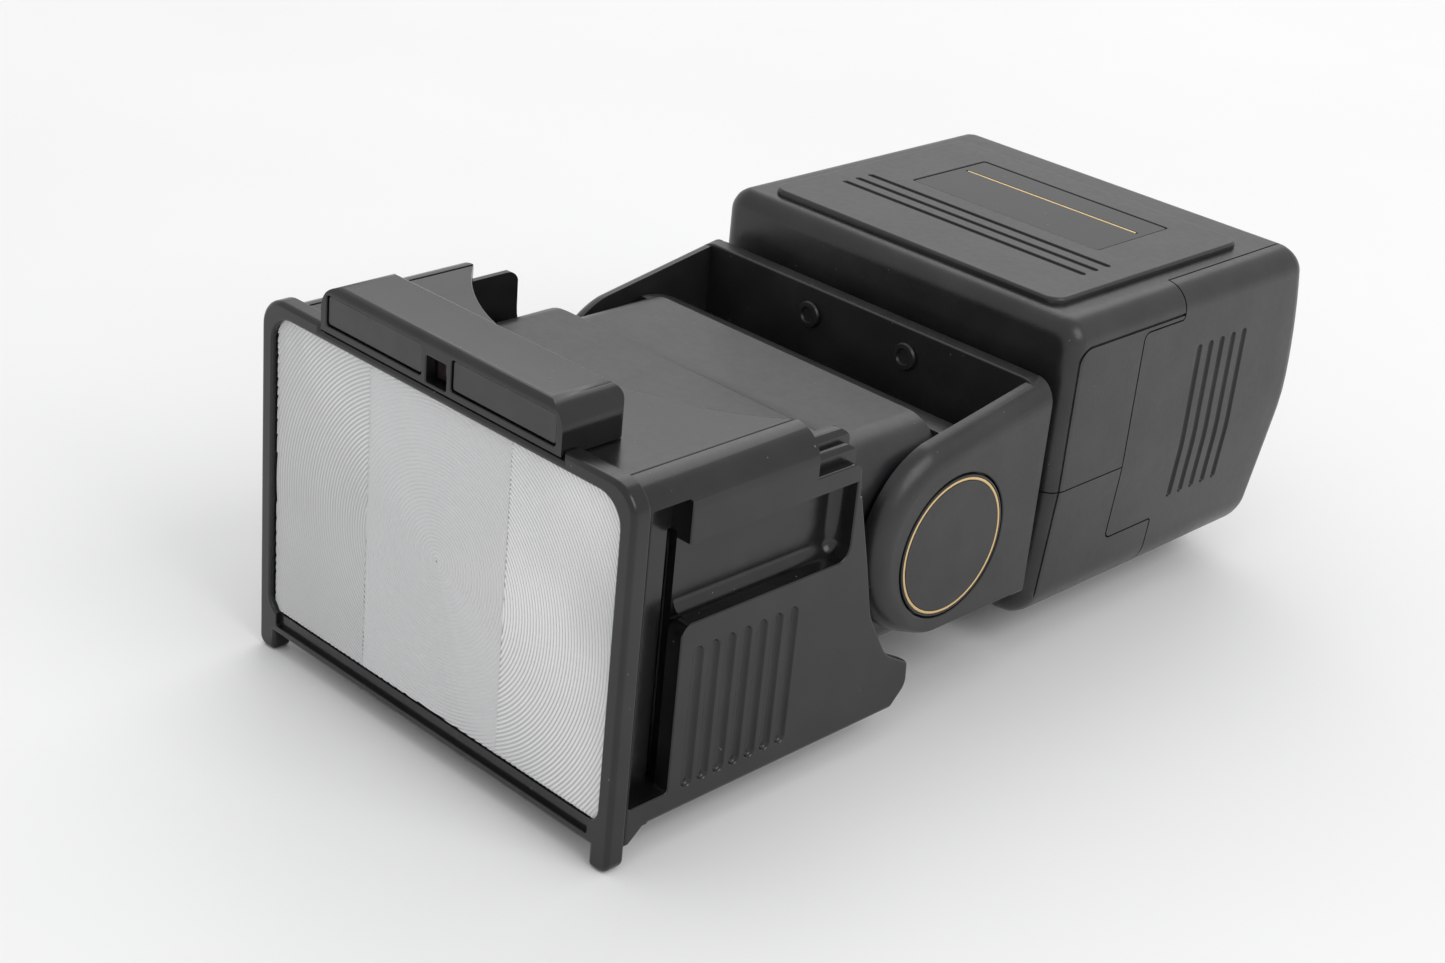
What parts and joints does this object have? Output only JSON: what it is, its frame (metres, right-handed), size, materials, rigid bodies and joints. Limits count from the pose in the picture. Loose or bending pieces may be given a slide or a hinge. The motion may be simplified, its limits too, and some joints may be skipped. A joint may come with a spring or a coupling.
{
  "type": "shoe-mount electronic flash",
  "caption": "Camera flash with a tilting and swivelling head in a yoke, a sliding zoom hood with a ridged lens, and a battery body ending in an accessory shoe foot.",
  "frame": {"origin": "middle of the surface that the flash lies on, under the centre of its box", "axes": "-Y is the way the window faces, +Y towards the shoe foot, +Z the face with the nameplate, X across the flash"},
  "size_m": [0.084, 0.1808, 0.0684],
  "materials": {
    "satin_plastic": "black moulded plastic, satin, smooth with soft highlights",
    "fine_grained_plastic": "black moulded plastic with a fine matt grain",
    "gloss_plastic": "polished black plastic",
    "dark_plastic": "dull black plastic",
    "label": "black printed label, satin",
    "clear_lens": "clear moulded acrylic with fine concentric ridges",
    "smoked_window": "dark smoked acrylic",
    "bright_reflector": "polished reflector foil",
    "gold_trim": "gold coloured trim",
    "gold_contact": "gold plated contact",
    "steel": "plain steel",
    "copper_winding": "varnished copper winding",
    "board": "green circuit board",
    "capacitor_sleeve": "dark shrink sleeve",
    "cell_jacket": "plain red cell jacket",
    "lamp": "orange lamp lens"
  },
  "bodies": {
    "body": {"rear_cover": "fine_grained_plastic", "front_cover": "fine_grained_plastic", "nameplate": "gloss_plastic", "nameplate_rule": "gold_trim", "circuit_board": "board", "main_capacitor": "capacitor_sleeve", "transformer": "copper_winding", "contact_plate_inner": "steel", "control_panel": "satin_plastic", "ready_lamp": "lamp", "sync_socket": "steel", "sensor_module": "satin_plastic", "sensor_window": "smoked_window", "shoe_foot": "dark_plastic", "battery_cell_1": "cell_jacket", "battery_cell_2": "cell_jacket", "battery_cell_3": "cell_jacket", "battery_cell_4": "cell_jacket"},
    "yoke": {"yoke_bracket": "fine_grained_plastic", "cover_disc_right": "satin_plastic", "cover_disc_left": "satin_plastic", "ring_inlay_right": "gold_trim", "ring_inlay_left": "gold_trim", "tilt_pin_right": "steel", "tilt_pin_left": "steel", "yoke_screw_right": "fine_grained_plastic", "yoke_screw_left": "fine_grained_plastic", "swivel_plate": "dark_plastic", "swivel_axle": "dark_plastic", "retaining_ring": "steel"},
    "head": {"head_top_shell": "fine_grained_plastic", "head_bottom_shell": "fine_grained_plastic", "head_drum": "fine_grained_plastic", "inner_window": "clear_lens", "reflector": "bright_reflector", "flash_tube": "clear_lens", "tube_electrode_right": "steel", "tube_electrode_left": "steel", "trigger_coil": "copper_winding", "head_circuit_board": "board"},
    "zoom_hood": {"front_frame": "satin_plastic", "fresnel_lens": "clear_lens", "scale_housing": "satin_plastic", "scale_label_right": "label", "scale_label_left": "label", "indicator_window": "smoked_window", "hood_top": "satin_plastic", "hood_bottom": "satin_plastic", "hood_side_right": "satin_plastic", "hood_side_left": "satin_plastic"},
    "battery_door": {"battery_door": "fine_grained_plastic", "contact_plate_door": "steel"},
    "lock_wheel": {"lock_wheel": "gloss_plastic"},
    "power_switch": {"power_switch": "gloss_plastic"},
    "mode_selector": {"mode_selector": "gloss_plastic"},
    "test_button": {"test_button": "gloss_plastic"},
    "centre_contact": {"centre_contact": "gold_contact"},
    "data_contact_right": {"data_contact_right": "gold_contact"},
    "data_contact_left": {"data_contact_left": "gold_contact"}
  },
  "joints": [
    {"name": "head_swivel", "type": "hinge", "parent": "body", "child": "yoke", "pos_m": [0, 0.0066, 0.0341], "axis": [0, 1, 0], "range_deg": [-90, 180]},
    {"name": "head_tilt", "type": "hinge", "parent": "yoke", "child": "head", "pos_m": [0, -0.0162, 0.0301], "axis": [1, 0, 0], "range_deg": [0, 90]},
    {"name": "hood_zoom", "type": "slide", "parent": "head", "child": "zoom_hood", "axis": [0, -1, 0], "range_m": [0, 0.012]},
    {"name": "door_slide", "type": "slide", "parent": "body", "child": "battery_door", "axis": [0, 1, 0], "range_m": [0, 0.01]},
    {"name": "wheel_turn", "type": "hinge", "parent": "body", "child": "lock_wheel", "pos_m": [0, 0.0846, 0.0341], "axis": [0, 1, 0], "continuous": true},
    {"name": "power_switch_slide", "type": "slide", "parent": "body", "child": "power_switch", "axis": [0, 1, 0], "range_m": [0, 0.0045]},
    {"name": "mode_selector_slide", "type": "slide", "parent": "body", "child": "mode_selector", "axis": [0, 1, 0], "range_m": [0, 0.0145]},
    {"name": "test_button_press", "type": "slide", "parent": "body", "child": "test_button", "axis": [1, 0, 0], "range_m": [0, 0.001], "stiffness_N_per_m": 300, "springref_m": -0.001},
    {"name": "centre_contact_press", "type": "slide", "parent": "body", "child": "centre_contact", "axis": [0, -1, 0], "range_m": [0, 0.0006], "stiffness_N_per_m": 300, "springref_m": -0.001},
    {"name": "data_contact_right_press", "type": "slide", "parent": "body", "child": "data_contact_right", "axis": [0, -1, 0], "range_m": [0, 0.0005], "stiffness_N_per_m": 100, "springref_m": -0.001},
    {"name": "data_contact_left_press", "type": "slide", "parent": "body", "child": "data_contact_left", "axis": [0, -1, 0], "range_m": [0, 0.0005], "stiffness_N_per_m": 100, "springref_m": -0.001}
  ]
}
